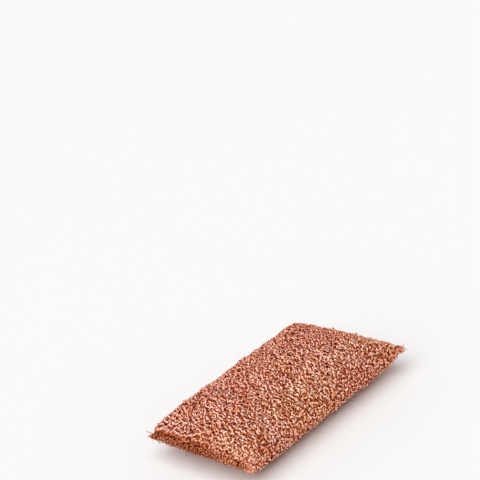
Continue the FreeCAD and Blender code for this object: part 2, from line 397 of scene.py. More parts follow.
@dataclass(frozen=True)
class FloorFinish:
    """Plain pale floor."""

    name: str = "pale_floor"
    colour: tuple = (0.93, 0.925, 0.92, 1.0)
    roughness: float = 0.7
    shine: float = 0.1

    def material(self) -> Material:
        """One even, nearly white colour with little shine.

        Returns:
            The material.
        """
        shader = Shader(self.name)
        shader.set(Base_Color=self.colour, Roughness=self.roughness, Specular_IOR_Level=self.shine)
        return shader.material


def oval_section(half_width: Array, half_height: Array, rise: float, share: Array) -> tuple[Array, Array]:
    """Place points round a flattened oval at even steps of its girth.

    Two crowns, each a flat arc, run tangentially into two round folds. A quarter of the girth is walked
    from the crown's middle to the fold's outermost point, along the crown's arc and then along the fold's,
    and the other quarters mirror it. The walk starts at the upper middle and goes by the -Y fold.

    Args:
        half_width: Half width of each section, as a column.
        half_height: Half height of each section, as a column.
        rise: Crown's rise above the fold, as a share of the half height.
        share: Share of the girth from 0 to 1, as a row.

    Returns:
        The y and z of each point, about the section's own centre.
    """
    fold = half_height * (1.0 - rise)
    flat = half_width - fold
    crown = (flat**2 + half_height**2 - fold**2) / (2.0 * (half_height - fold))
    lean = np.arctan2(flat, crown - half_height)
    quarter = np.floor(share * 4.0) % 4
    walk = share * 4.0 - np.floor(share * 4.0)
    walk = np.where(quarter % 2 == 0, walk, 1.0 - walk)
    length = walk * (crown * lean + fold * (np.pi / 2 - lean))
    on_crown = length <= crown * lean
    crown_angle = np.minimum(length / crown, lean)
    fold_angle = lean + np.maximum(length - crown * lean, 0.0) / fold
    y = np.where(on_crown, crown * np.sin(crown_angle), flat + fold * np.sin(fold_angle))
    z = np.where(on_crown, crown * np.cos(crown_angle) - crown + half_height, fold * np.cos(fold_angle))
    return y * np.where(quarter < 2, -1.0, 1.0), z * np.where((quarter == 0) | (quarter == 3), 1.0, -1.0)


def refine_grid(grid: Array, wrap: bool, axis: int) -> Array:
    """Double a grid along one axis by the four-point rule (-1, 9, 9, -1) / 16.

    Args:
        grid: Points of the grid.
        wrap: Whether the axis closes on itself.
        axis: Axis to double.

    Returns:
        The doubled grid, with 2n rows where it wraps and 2n - 1 where it doesn't.
    """
    grid = np.moveaxis(grid, axis, 0)
    if wrap:
        before, after, later = np.roll(grid, 1, 0), np.roll(grid, -1, 0), np.roll(grid, -2, 0)
        middle = (9.0 * (grid + after) - before - later) / 16.0
        fine = np.stack([grid, middle], axis=1).reshape(-1, *grid.shape[1:])
    else:
        first, last = 2.0 * grid[:1] - grid[1:2], 2.0 * grid[-1:] - grid[-2:-1]
        long = np.concatenate([first, grid, last])
        middle = (9.0 * (long[1:-2] + long[2:-1]) - long[:-3] - long[3:]) / 16.0
        fine = np.empty((2 * len(grid) - 1, *grid.shape[1:]))
        fine[0::2] = grid
        fine[1::2] = middle
    return np.moveaxis(fine, 0, axis)


def tube_faces(rows: int, columns: int) -> list:
    """Number the faces of a tube that is pinched shut at both ends.

    The sides are quads between neighbouring rings. Each end ring is closed by quads that join a point to
    the one mirrored across the plane of the two folds, with a triangle at each fold.

    Args:
        rows: Rings along the tube.
        columns: Points round a ring, a multiple of 4.

    Returns:
        The faces, all pointing outwards.
    """
    row, column = np.meshgrid(np.arange(rows - 1), np.arange(columns), indexing="ij")
    onward = (column + 1) % columns
    sides = np.stack(
        [
            row * columns + column,
            row * columns + onward,
            (row + 1) * columns + onward,
            (row + 1) * columns + column,
        ],
        axis=-1,
    ).reshape(-1, 4)
    middle = columns // 4
    step = np.arange(1, columns // 2 - 1)
    upper, lower = (middle - step) % columns, (middle + step) % columns
    next_upper, next_lower = (upper - 1) % columns, (lower + 1) % columns
    caps = np.stack([upper, next_upper, next_lower, lower], axis=-1)
    opposite = (middle + columns // 2) % columns
    tips = np.array([
        [middle, (middle - 1) % columns, (middle + 1) % columns],
        [opposite, (opposite - 1) % columns, (opposite + 1) % columns],
    ])
    last = (rows - 1) * columns
    faces = sides.tolist() + caps.tolist() + tips.tolist()
    return faces + (caps[:, ::-1] + last).tolist() + (tips[:, ::-1] + last).tolist()


def tube_normals(grid: Array) -> Array:
    """Outward normals of a tube: the cross product of its steps round and along it."""
    return unit(np.cross(np.roll(grid, -1, 1) - np.roll(grid, 1, 1), np.gradient(grid, axis=0)))


@dataclass
class PillowForm:
    """A pillow of oval sections, drawn down at both ends to a flat hem.

    Lengths are in metres. The half height falls as a cosine of the bulge angle while the section moves
    outwards as a power of its sine, so the ends are blunt and full.
    """

    reach: float
    half_width: float
    half_height: float
    level: float
    lip: float
    hem: float
    spread: float
    rise: float
    fullness: float
    rows: int = 65
    columns: int = 96
    corner_fill: tuple = (0.0, 0.0, 0.0, 0.0)
    corner_round: float = 0.0
    corner_point: float = 0.0
    walk_steps: int = 600
    spread_power: float = 8.0
    fill_zone: tuple = (0.7, 0.95)
    round_from: float = 0.88
    point_from: float = 0.80
    hem_pull: float = 0.6

    def stations(self) -> tuple[Array, Array, Array]:
        """Find the rows at even steps along the outline, from hem edge to hem edge.

        Returns:
            Each row's end of the pillow as -1 or 1, its bulge angle, and its share of the hem.
        """
        angle = np.pi / 2 * np.linspace(0.0, 1.0, self.walk_steps) ** (self.fullness / 2.0)
        x = self.reach * np.sin(angle) ** (2.0 / self.fullness)
        z = self.lip + (self.half_height - self.lip) * np.cos(angle)
        walked = np.concatenate([[0.0], np.cumsum(np.hypot(np.diff(x), np.diff(z)))])
        steps = np.linspace(-1.0, 1.0, self.rows) * (walked[-1] + self.hem)
        bulge = np.interp(np.abs(steps), walked, angle)
        hem_share = np.clip((np.abs(steps) - walked[-1]) / max(self.hem, 1e-9), 0.0, 1.0)
        return np.where(steps < 0, -1.0, 1.0), bulge, hem_share

    def grid(self) -> Array:
        """Work out the pillow's points.

        A section's half width grows by the spread towards the hem. Corners are filled out by a higher
        power, in the order near left, near right, far left, far right. Two opposite ones have their hem
        rounded off, and the hem of the other two is drawn to a point.

        Returns:
            Points by row, column and coordinate.
        """
        end, bulge, hem_share = (values[:, None] for values in self.stations())
        sine = np.sin(bulge)
        width = self.half_width + self.spread * sine ** (self.spread_power / self.fullness)
        height = self.lip + (self.half_height - self.lip) * np.cos(bulge)
        share = np.arange(self.columns)[None, :] / self.columns
        y, z = oval_section(width, height, self.rise, share)
        side = end * y / width
        out = sine ** (2.0 / self.fullness)
        near_left, near_right, far_left, far_right = self.corner_fill
        near = np.where(end < 0, near_left, near_right)
        far = np.where(end < 0, far_left, far_right)
        fill = np.where(y < 0, near, far) * smooth_step(0.0, 1.0, np.abs(y) / width)
        fuller = sine ** (2.0 / (self.fullness * (1.0 + fill)))
        out = out + (fuller - out) * smooth_step(*self.fill_zone, out)
        rounded = self.corner_round * smooth_step(self.round_from, 1.0, side)
        pointed = self.corner_point * smooth_step(self.point_from, 1.0, -side)
        x = self.reach * out + hem_share * (self.hem - rounded + pointed)
        y = y * (1.0 + (pointed - rounded) * hem_share / width * self.hem_pull)
        return np.stack([end * x, y, z + self.level], axis=-1)


@dataclass
class Stuffing:
    """The pressure that fills the sleeve, worked out by a cloth simulation at a larger scale."""

    scale: float = 6.0
    pressure: float = 4.0
    frames: int = 20
    swell: float = 1.0 * MM
    sink: float = 0.2 * MM
    slide: float = 0.8 * MM
    stiffness: float = 120.0
    bending: float = 30.0
    quality: int = 5
    mass: float = 0.3
    pin_group: str = "hem"

    def fill(self, grid: Array, pinned: Array) -> Array:
        """Swell a closed tube of cloth and keep each point near its place.

        The move is split along the normal, where the foam behind allows less inwards than outwards, and
        along the cloth, and each part is capped.

        Args:
            grid: Points by row, column and coordinate.
            pinned: Rows that the seam holds in place.

        Returns:
            The points after the simulation, within the caps of where they were.
        """
        rows, columns, _ = grid.shape
        cloth = add_piece("stuffing", grid * self.scale, tube_faces(rows, columns))
        group = cloth.vertex_groups.new(name=self.pin_group)
        held = (pinned[:, None] * columns + np.arange(columns)).ravel()
        group.add(held.tolist(), 1.0, "REPLACE")
        modifier = cloth.modifiers.new("fill", "CLOTH")
        settings = modifier.settings
        settings.quality = self.quality
        settings.mass = self.mass
        settings.tension_stiffness = self.stiffness
        settings.compression_stiffness = self.stiffness
        settings.shear_stiffness = self.stiffness / 2
        settings.bending_stiffness = self.bending
        settings.use_pressure = True
        settings.uniform_pressure_force = self.pressure
        settings.vertex_group_mass = self.pin_group
        settings.effector_weights.gravity = 0.0
        modifier.collision_settings.use_collision = False
        modifier.point_cache.frame_start = 1
        modifier.point_cache.frame_end = self.frames
        scene = bpy.context.scene
        for number in range(1, self.frames + 1):
            scene.frame_set(number)
        shown = cloth.evaluated_get(bpy.context.evaluated_depsgraph_get())
        flat = np.empty(rows * columns * 3)
        shown.data.vertices.foreach_get("co", flat)
        mesh = cloth.data
        bpy.data.objects.remove(cloth)
        bpy.data.meshes.remove(mesh)
        scene.frame_set(1)
        move = flat.reshape(grid.shape) / self.scale - grid
        normal = tube_normals(grid)
        out = dot(move, normal)
        LOG.info("stuffing swelled the cloth by %.2f to %.2f mm", out.min() / MM, out.max() / MM)
        along = move - out * normal
        far = np.linalg.norm(along, axis=-1, keepdims=True)
        along = along * np.minimum(1.0, self.slide / np.maximum(far, 1e-9))
        return grid + normal * np.clip(out, -self.sink, self.swell) + along


@dataclass
class Sleeve:
    """The knitted tube: its ground cloth, from which every loop of the pile rises."""

    length: float
    hem_width: float
    height: float
    seat_cut: float = 0.5 * MM
    crown_rise: float = 2.0 * MM
    fullness: float = 6.5
    spread: float = 1.0 * MM
    hem_depth: float = 3.2 * MM
    pile_depth: float = 1.3 * MM
    hem_pile: float = 0.6 * MM
    hem_lip: float = 0.55 * MM
    dent: float = 0.35 * MM
    dent_fade: tuple = (0.90, 0.97)
    floor_gap: float = 0.4 * MM
    corner_fill: tuple = (0.5, 0.1, 0.0, 0.6)
    corner_round: float = 2.8 * MM
    corner_point: float = 0.8 * MM
    stuffing: Stuffing = field(default_factory=Stuffing)
    points: Array = field(default_factory=lambda: np.zeros((0, 0, 3)))
    normals: Array = field(default_factory=lambda: np.zeros((0, 0, 3)))
    hem_rows: int = 0

    def hem_share(self) -> float:
        """Share of the rows that one hem takes."""
        return self.hem_rows / (len(self.points) - 1)

    def form(self) -> PillowForm:
        """The ground's pillow before it is filled: the outer form less the depth of the pile.

        Returns:
            The pillow.
        """
        half = (self.height + self.seat_cut) / 2
        return PillowForm(
            reach=self.length / 2 - self.hem_depth - self.hem_pile,
            half_width=self.hem_width / 2 - self.spread - self.pile_depth,
            half_height=half - self.pile_depth,
            level=(self.height - self.seat_cut) / 2,
            lip=self.hem_lip,
            hem=self.hem_depth,
            spread=self.spread + self.pile_depth - self.hem_pile,
            rise=self.crown_rise / half,
            fullness=self.fullness,
            corner_fill=self.corner_fill,
            corner_round=self.corner_round,
            corner_point=self.corner_point,
        )

    def build(self) -> Piece:
        """Fill the cloth, dent it a little, and make the ground piece.

        Returns:
            The ground, closed at both hems.
        """
        form = self.form()
        grid = form.grid()
        hem_share = form.stations()[2]
        grid = self.stuffing.fill(grid, np.flatnonzero(hem_share > 0.0))
        fine = refine_grid(refine_grid(grid, True, 1), False, 0)
        self.normals = tube_normals(fine)
        fine = fine + self.normals * self.dents(fine)
        fine[..., 2] = np.maximum(fine[..., 2], self.floor_gap)
        self.points = fine
        self.normals = tube_normals(fine)
        self.hem_rows = 2 * int(np.count_nonzero(hem_share[: len(hem_share) // 2] > 0.0))
        return add_piece("sleeve_ground", fine, tube_faces(*fine.shape[:2]))

    def dents(self, grid: Array) -> Array:
        """Shallow unevenness of the cloth: two crossed sine waves, fading out towards the hems.

        Each wave is bent by a slower sine across it. Wave numbers are in radians per metre.

        Args:
            grid: Points of the cloth.

        Returns:
            The height to add along the normal, with a last axis of length one.
        """
        x, y, z = (grid[..., axis : axis + 1] for axis in range(3))
        lengthwise = np.sin(x * 240.0 + 2.1 * np.sin(y * 130.0))
        crosswise = np.sin(y * 210.0 + 1.7 * np.sin(x * 95.0) + z * 160.0)
        fade = 1.0 - smooth_step(*self.dent_fade, np.abs(x) / (self.length / 2))
        return self.dent * (lengthwise * crosswise) * fade

    def sample(self, along: Array, around: Array) -> tuple[Array, Array, Array]:
        """Read the cloth between its grid points by the bilinear rule.

        Args:
            along: Share of the rows, from 0 to 1.
            around: Share of the girth, from 0 to 1.

        Returns:
            Places, normals and directions along the tube.
        """
        rows, columns, _ = self.points.shape
        row = np.clip(along, 0.0, 1.0) * (rows - 1)
        column = (around % 1.0) * columns
        low_row = np.minimum(row.astype(int), rows - 2)
        low_column = column.astype(int) % columns
        next_column = (low_column + 1) % columns
        down, right = (row - low_row)[:, None], (column - np.floor(column))[:, None]
        read = []
        for layer in (self.points, self.normals):
            upper = layer[low_row, low_column] * (1 - right) + layer[low_row, next_column] * right
            lower = layer[low_row + 1, low_column] * (1 - right) + layer[low_row + 1, next_column] * right
            read.append(upper * (1 - down) + lower * down)
        step = self.points[low_row + 1, low_column] - self.points[low_row, low_column]
        normal = unit(read[1])
        return read[0], normal, unit(step - normal * dot(step, normal))

    def dress(self, piece: Piece) -> None:
        """Finish the ground and let it stand for the CAD sleeve.

        Args:
            piece: The ground.
        """
        settle(piece, GROUND_WITH_PAINTED_SHADE.material())
        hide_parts("knit_sleeve")


def strand_faces(strands: int, rings: int, sides: int) -> list:
    """Number the faces of closed strands: quads along the sides, and a flat cap at each end.

    Args:
        strands: How many strands follow one another.
        rings: Rings along a strand.
        sides: Points round a ring.

    Returns:
        The faces, all pointing outwards.
    """
    ring = np.arange(rings - 1)[:, None] * sides
    corner = np.arange(sides)
    onward = (corner + 1) % sides
    walls = np.stack([ring + corner, ring + onward, ring + sides + onward, ring + sides + corner], axis=-1)
    caps = np.stack([corner[::-1], corner + (rings - 1) * sides])
    start = np.arange(strands)[:, None, None] * rings * sides
    walls = (start + walls.reshape(-1, 4)).reshape(-1, 4)
    return walls.tolist() + (start + caps).reshape(-1, sides).tolist()


def tape_mesh(name: str, centres: Array, flats: Array, widths: Array, thick: float) -> Piece:
    """Make many closed strands of curled tape as one piece.

    Each strand has a flat six-sided section carried along its own line of centres: the width lies along
    the given direction, made square to the line, and the thickness along the product of the two.

    Args:
        name: Name of the piece.
        centres: Centres by tape, ring and coordinate.
        flats: Rough width directions by tape, ring and coordinate.
        widths: Full widths by tape and ring.
        thick: Thickness of the strand at its middle.

    Returns:
        The piece, shaded smooth.
    """
    tapes, rings, _ = centres.shape
    line = unit(np.gradient(centres, axis=1))
    across = unit(flats - line * dot(flats, line))
    through = np.cross(line, across)
    half = widths[..., None] / 2
    wide, deep = SECTION[:, 0, None], SECTION[:, 1, None]
    corners = centres[:, :, None] + (across * half)[:, :, None] * wide
    corners = corners + through[:, :, None] * (deep * thick / 2)
    corners[..., 2] = np.maximum(corners[..., 2], 0.0)
    return add_piece(name, corners, strand_faces(tapes, rings, len(SECTION)))


def add_values(piece: Piece, name: str, values: Array) -> None:
    """Store one value for all points of each strand.

    Args:
        piece: The strands.
        name: Name of the attribute.
        values: One value from 0 to 1 for each strand.
    """
    layer = piece.data.attributes.new(name, "FLOAT", "POINT")
    layer.data.foreach_set("value", np.repeat(values, len(layer.data) // len(values)).astype(np.float32))


@dataclass(frozen=True)
class PileLayer:
    """One kind of loop: how densely it stands, its sizes, and the range of its tones."""

    suffix: str
    along_count: int
    around_count: int
    rings: int
    width: tuple
    span: tuple
    height: tuple
    lean: float
    curl: float
    sunk: float
    tones: tuple
    seed: int
    crease_cut: float = 0.0
    strays: float = 0.0
    hems: bool = False


TALL_LOOPS = PileLayer(
    suffix="pile",
    along_count=56,
    around_count=98,
    rings=7,
    width=(1.12 * MM, 1.55 * MM),
    span=(2.0 * MM, 3.3 * MM),
    height=(0.8 * MM, 1.7 * MM),
    lean=0.45 * MM,
    curl=0.5 * MM,
    sunk=0.3 * MM,
    tones=(0.56, 1.0),
    seed=7,
    crease_cut=0.25,
    strays=0.03,
)
SHORT_LOOPS = PileLayer(
    suffix="underpile",
    along_count=80,
    around_count=120,
    rings=5,
    width=(0.60 * MM, 0.95 * MM),
    span=(1.9 * MM, 3.4 * MM),
    height=(0.45 * MM, 0.85 * MM),
    lean=0.3 * MM,
    curl=0.4 * MM,
    sunk=0.2 * MM,
    # Low tones: partly painted shade, so that the gaps between the tall loops look dark.
    tones=(0.05, 0.45),
    seed=19,
    crease_cut=0.2,
)
HEM_LOOPS = PileLayer(
    suffix="loops",
    along_count=3,
    around_count=124,
    rings=5,
    width=(0.75 * MM, 1.05 * MM),
    span=(1.7 * MM, 3.0 * MM),
    height=(0.5 * MM, 1.1 * MM),
    lean=0.35 * MM,
    curl=0.3 * MM,
    sunk=0.2 * MM,
    # Lower tones than the tall loops: partly painted shade of the crease beside the hem.
    tones=(0.06, 0.66),
    seed=31,
    hems=True,
)


@dataclass(frozen=True)
class ToneAndPaintedLight:
    """How much lighter or darker the loops are in parts of the pad, in shares of their range of tones. The
    wave is the tape's own uneven tone; the other areas are painted light and shade: lighter on the near half
    and at the far left, darker at the near left, the near right and on the hems towards their drawn-out
    corner.
    """

    base: float = -0.05
    wave: float = 0.08
    near_half: float = 0.36
    far_left: float = 0.15
    near_left: float = -0.20
    near_right: float = -0.22
    drawn_hem: float = -0.35
    shape: tuple = (2.2, 2.0)


@dataclass(frozen=True)
class AmberAndPaintedBounce:
    """How far the rose copper turns to amber in parts of the pad. The patches and the spread are the tape's
    own colour; the near fold, the near hem and the band add painted warm reflected light, which the corner
    term takes back near the corners.
    """

    base: float = 0.08
    near_fold: float = 0.20
    near_hem: float = 0.22
    patch: float = 0.22
    patch_size: float = 25.0 * MM
    band: float = 0.20
    band_place: float = 0.75
    band_width: float = 0.3
    corner: float = -0.6
    spread: float = 0.12


def dress_tape(pieces: list[Piece], material: Material) -> None:
    """Finish pieces of tape in the same material."""
    for piece in pieces:
        settle(piece, material)


@dataclass
class LoopPile:
    """A layer of small tape loops that stand on the sleeve."""

    sleeve: Sleeve
    layer: PileLayer
    thick: float = 0.30 * MM
    jitter: float = 0.3
    nap: float = -math.pi / 2
    nap_spread: float = 0.7
    nap_lean: float = 0.25
    twist_spread: float = 0.3
    twist_turn: float = 0.6
    arch_power: float = 0.8
    foot_width: float = 0.75
    stray_rise: float = 0.9 * MM
    stray_corner: float = 2.0
    crease_painted_shade: float = 0.92
    crease_least: float = 0.12
    crease_fade: tuple = (-0.7, 0.1)
    crease_wave: tuple = (0.25, 11.0, 1.0)
    crease_width: tuple = (0.15, 0.9)
    corner_from: tuple = (0.84, 0.72)
    edge_from: float = 0.55
    edge_turn: float = 2.5
    fold_share: float = 0.055
    floor_rest: float = 0.5 * MM
    tone_and_painted_light: ToneAndPaintedLight = ToneAndPaintedLight()
    amber_and_painted_bounce: AmberAndPaintedBounce = AmberAndPaintedBounce()

    def roots(self, draw: np.random.Generator) -> tuple[Array, Array]:
        """Scatter the roots on a brick lattice with jitter, on the hems or between them.

        Args:
            draw: Source of the random draws.

        Returns:
            Shares along and around the tube.
        """
        rows, columns = self.layer.along_count, self.layer.around_count
        row, column = np.meshgrid(np.arange(rows), np.arange(columns), indexing="ij")
        row, column = row.ravel(), column.ravel()
        jitter = draw.uniform(-self.jitter, self.jitter, (2, row.size))
        along = (row + 0.5 + jitter[0]) / rows
        around = (column + 0.5 * (row % 2) + jitter[1]) / columns
        hem = self.sleeve.hem_share()
        if self.layer.hems:
            along = np.concatenate([along * hem, 1.0 - along * hem])
            around = np.concatenate([around, around + 0.5])
        else:
            along = hem + along * (1.0 - 2.0 * hem)
        return along, around % 1.0

    def build(self) -> list[Piece]:
        """Raise a loop on every root and sort the loops into zones.

        A loop's centre line spans its two feet, rises as a power of a half sine, leans and curls sideways,
        and the tape turns about its line from foot to foot. Between the hems the loops lie round the tube,
        with a spread, and lean back against that nap. On the hems they lie in every direction.

        Returns:
            One piece for each zone that has loops.
        """
        layer = self.layer
        draw = np.random.default_rng(layer.seed)
        along, around = self.roots(draw)
        count = along.size
        place, normal, forward = self.sleeve.sample(along, around)
        if layer.hems:
            normal, forward = self.lean_out(along, normal)
        sideways = np.cross(normal, forward)

        if layer.hems:
            turn = draw.uniform(0.0, 2.0 * np.pi, (count, 1))
        else:
            turn = draw.normal(self.nap, self.nap_spread, (count, 1))
        aim = np.cos(turn) * forward + np.sin(turn) * sideways
        cross = np.cross(normal, aim)
        span = draw.uniform(*layer.span, (count, 1))
        height = draw.uniform(*layer.height, (count, 1))
        lean = draw.normal(0.0, layer.lean, (2, count, 1))
        curl = draw.normal(0.0, layer.curl, (count, 1))
        step = np.linspace(0.0, 1.0, layer.rings)
        twist = draw.normal(0.0, self.twist_spread, (count, 1))
        twist = twist + draw.uniform(-self.twist_turn, self.twist_turn, (count, 1)) * (step - 0.5)
        width = draw.uniform(*layer.width, (count, 1))
        tone = self.tones(place, draw)
        amber = self.ambers(place, draw)
        stray = draw.random(count) < layer.strays * (1.0 + self.stray_corner * self.corner(place))
        crease = self.crease(along, place)
        height = np.where(stray[:, None], height + self.stray_rise, height)
        height = height * (1.0 - layer.crease_cut * crease[:, None])
        # Painted shade: loops in the crease are darkened.
        tone = tone * (1.0 - self.crease_painted_shade * crease)

        arch = np.sin(np.pi * step) ** self.arch_power
        reach = span * (step - 0.5) + (lean[0] - self.nap_lean * span) * arch
        shift = lean[1] * arch + curl * np.sin(2.0 * np.pi * step)
        rise = height * arch - layer.sunk
        centres = (
            place[:, None, :]
            + aim[:, None, :] * reach[..., None]
            + cross[:, None, :] * shift[..., None]
            + normal[:, None, :] * rise[..., None]
        )
        line = unit(np.gradient(centres, axis=1))
        level = unit(cross[:, None, :] - line * dot(cross[:, None, :], line))
        flats = np.cos(twist)[..., None] * level + np.sin(twist)[..., None] * np.cross(line, level)
        widths = width * (self.foot_width + (1.0 - self.foot_width) * arch)
        centres[..., 2] = self.rest_on_floor(centres[..., 2])

        pieces = []
        zone = self.zones(along, around)
        for number, part in enumerate(Zone):
            chosen = zone == number
            if chosen.any():
                name = f"{part.value}_{layer.suffix}"
                piece = tape_mesh(name, centres[chosen], flats[chosen], widths[chosen], self.thick)
                add_values(piece, TONE, tone[chosen])
                add_values(piece, AMBER, amber[chosen])
                pieces.append(piece)
        return pieces

    def lean_out(self, along: Array, normal: Array) -> tuple[Array, Array]:
        """Turn the loops next to a hem's edge outwards, so that they cover the edge.

        Args:
            along: Share along the tube.
            normal: Normals of the cloth.

        Returns:
            Turned normals, and a direction square to each.
        """
        closeness = 1.0 - np.minimum(along, 1.0 - along) / self.sleeve.hem_share()
        outwards = np.sign(along - 0.5)[:, None] * np.array([1.0, 0.0, 0.0])
        turn = self.edge_turn * smooth_step(self.edge_from, 1.0, closeness)[:, None]
        turned = unit(normal + turn * outwards)
        across = np.array([[0.0, 1.0, 0.0]])
        return turned, unit(across - turned * dot(turned, across))

    def tones(self, place: Array, draw: np.random.Generator) -> Array:
        """Give each loop a tone: a random draw over a slow drift across the pad, most of which is painted
        light and shade.

        Each area fades in over a range of the shares that near, right and drawn_out give. The wave's
        numbers are in radians per metre.

        Args:
            place: Places of the roots.
            draw: Source of the random draws.

        Returns:
            One value for each loop, within the layer's range.
        """
        by, near, right = self.tone_and_painted_light, self.near(place), self.right(place)
        drift = by.base + by.wave * np.sin(place[:, 0] * 130.0 + 1.3) * np.sin(place[:, 1] * 150.0 + 0.6)
        # Painted light on the near half and the far left, painted shade at the near left, the near right and
        # on the hems.
        drift += by.near_half * smooth_step(0.05, 0.75, near)
        drift += by.far_left * smooth_step(0.6, 0.9, -right) * (1.0 - smooth_step(-0.3, 0.4, near))
        drift += by.near_left * smooth_step(0.7, 1.0, near) * smooth_step(0.5, 0.9, -right)
        drift += by.near_right * smooth_step(0.5, 1.0, near) * smooth_step(-0.6, 0.8, right)
        if self.layer.hems:
            drift += by.drawn_hem * smooth_step(-0.7, 0.3, self.drawn_out(place))
        share = np.clip(draw.beta(*by.shape, place.shape[0]) + drift, 0.0, 1.0)
        low, high = self.layer.tones
        return low + (high - low) * share

    def ambers(self, place: Array, draw: np.random.Generator) -> Array:
        """Say how far each loop's rose copper turns to amber: soft patches of the tape's own colour, and
        painted warm reflected light on the near side.

        The patches are the product of two bent sine waves, over places counted in patch sizes.

        Args:
            place: Places of the roots.
            draw: Source of the random draws.

        Returns:
            One value from 0 to 1 for each loop.
        """
        by, near = self.amber_and_painted_bounce, self.near(place)
        x, y, z = (place / by.patch_size).T
        patch = np.sin(1.9 * x + 1.1 * np.sin(1.3 * y + z)) * np.sin(1.6 * y + 0.9 * np.sin(1.7 * x) + 0.8)
        # The near fold, the near hem and the band are painted warm reflected light.
        near_fold = smooth_step(0.1, 1.0, near)
        near_hem = smooth_step(0.5, 1.0, -self.right(place)) * (0.1 + near_fold)
        band = np.exp(-(((near - by.band_place) / by.band_width) ** 2))
        drift = by.base + by.near_fold * near_fold + by.near_hem * near_hem + by.patch * patch
        drift += by.band * band + by.corner * self.corner(place)
        return np.clip(drift + draw.normal(0.0, by.spread, x.size), 0.0, 1.0)

    def near(self, place: Array) -> Array:
        """Say how far each place lies towards the near fold, from -1 at the far fold to 1."""
        return -2.0 * place[:, 1] / self.sleeve.hem_width

    def right(self, place: Array) -> Array:
        """Say how far each place lies towards the right hem, from -1 at the left hem to 1."""
        return 2.0 * place[:, 0] / self.sleeve.length

    def corner(self, place: Array) -> Array:
        """Say how close each loop stands to a corner of the pad.

        Args:
            place: Places of the roots.

        Returns:
            One value for each loop: 1 at the corner, 0 away from it.
        """
        hem_from, fold_from = self.corner_from
        out = smooth_step(hem_from, 1.0, np.abs(self.right(place)))
        return out * smooth_step(fold_from, 1.0, np.abs(self.near(place)))

    def drawn_out(self, place: Array) -> Array:
        """Say how far each place lies along its hem, from -1 to 1 at the corner it is drawn out to."""
        return np.sign(place[:, 0]) * self.near(place)

    def crease(self, along: Array, place: Array) -> Array:
        """Say how close each loop stands to the crease at a hem's foot, where loops are short and their tone
        is darkened as painted shade.

        The crease fades towards the hem's full corner, and it comes and goes along the hem as a slow sine.

        Args:
            along: Share along the tube.
            place: Places of the roots.

        Returns:
            One value for each loop: up to 1 at the foot of a hem, 0 from about 3 mm away, and 0 on the hems.
        """
        if self.layer.hems:
            return np.zeros(along.size)
        inwards = np.minimum(along, 1.0 - along) / self.sleeve.hem_share() - 1.0
        corner = self.drawn_out(place)
        depth = self.crease_least + (1.0 - self.crease_least) * smooth_step(*self.crease_fade, corner)
        swing, turns, start = self.crease_wave
        depth = depth * (1.0 - swing + swing * np.sin(turns * corner + start))
        return depth * (1.0 - smooth_step(*self.crease_width, inwards))

    def rest_on_floor(self, level: Array) -> Array:
        """Press loops flat where the pad lies: below the rest height, levels fall off exponentially."""
        pressed = self.floor_rest * np.exp(np.minimum(level / self.floor_rest - 1.0, 0.0))
        return np.where(level < self.floor_rest, pressed, level) + self.thick

    def zones(self, along: Array, around: Array) -> Array:
        """Sort the loops into pieces by where their root lies.

        Args:
            along: Share along the tube.
            around: Share round the tube from the upper middle, by the -Y fold.

        Returns:
            The number of each loop's zone.
        """
        order = {part: number for number, part in enumerate(Zone)}
        left = along < 0.5
        if self.layer.hems:
            return np.where(left, order[Zone.LEFT_HEM], order[Zone.RIGHT_HEM])
        near = np.abs(around - 0.25) < self.fold_share
        far = np.abs(around - 0.75) < self.fold_share
        lower = np.abs(around - 0.5) < 0.25
        zone = np.where(left, order[Zone.UPPER_LEFT], order[Zone.UPPER_RIGHT])
        zone = np.where(lower, np.where(left, order[Zone.LOWER_LEFT], order[Zone.LOWER_RIGHT]), zone)
        return np.where(near, order[Zone.NEAR_FOLD], np.where(far, order[Zone.FAR_FOLD], zone))


